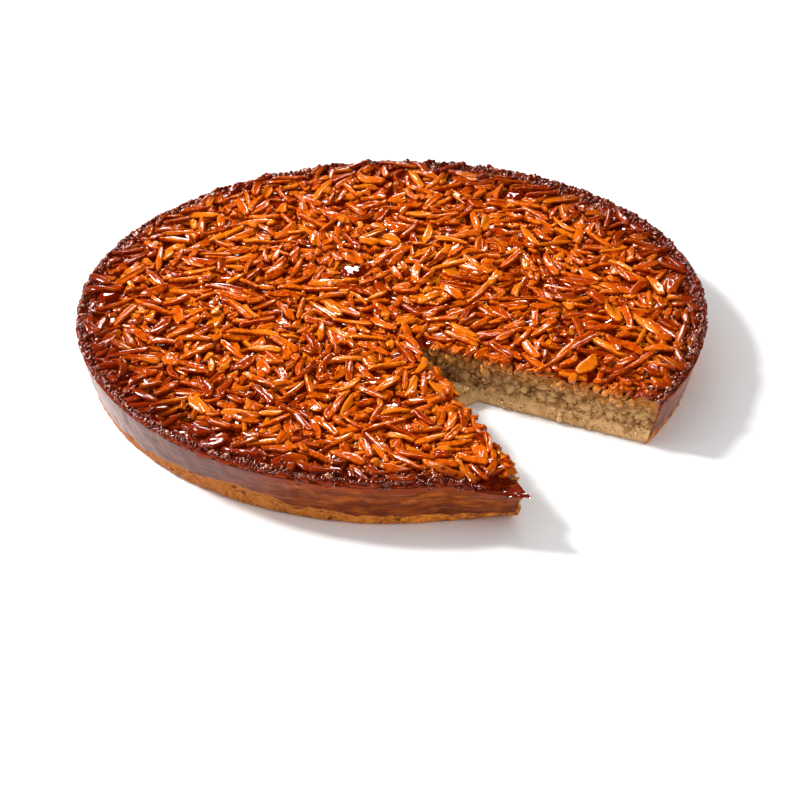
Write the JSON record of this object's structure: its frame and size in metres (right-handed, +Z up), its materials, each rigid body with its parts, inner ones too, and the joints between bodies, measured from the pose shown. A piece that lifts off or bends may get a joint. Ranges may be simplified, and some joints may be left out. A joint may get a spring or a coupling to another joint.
{
  "type": "almond tart",
  "caption": "Round, flat almond tart with one wedge cut out: shortcrust base, crumbly almond filling and a glossy topping of slivered almonds in caramel.",
  "frame": {"origin": "centre of the tart's round on its flat underside", "axes": "+Z up through the topping; the missing wedge opens towards -Y; +X to the right seen from -Y"},
  "size_m": [0.2848, 0.2832, 0.0275],
  "materials": {
    "crust": "baked shortcrust, golden brown, dry and slightly rough",
    "almond_paste": "crumbly baked almond filling, tan, matt",
    "caramelised_almond": "almond slivers under amber to dark red-brown caramel, very glossy"
  },
  "bodies": {
    "root": {"crust_base": "crust", "almond_filling": "almond_paste", "almond_topping": "caramelised_almond"}
  },
  "joints": []
}
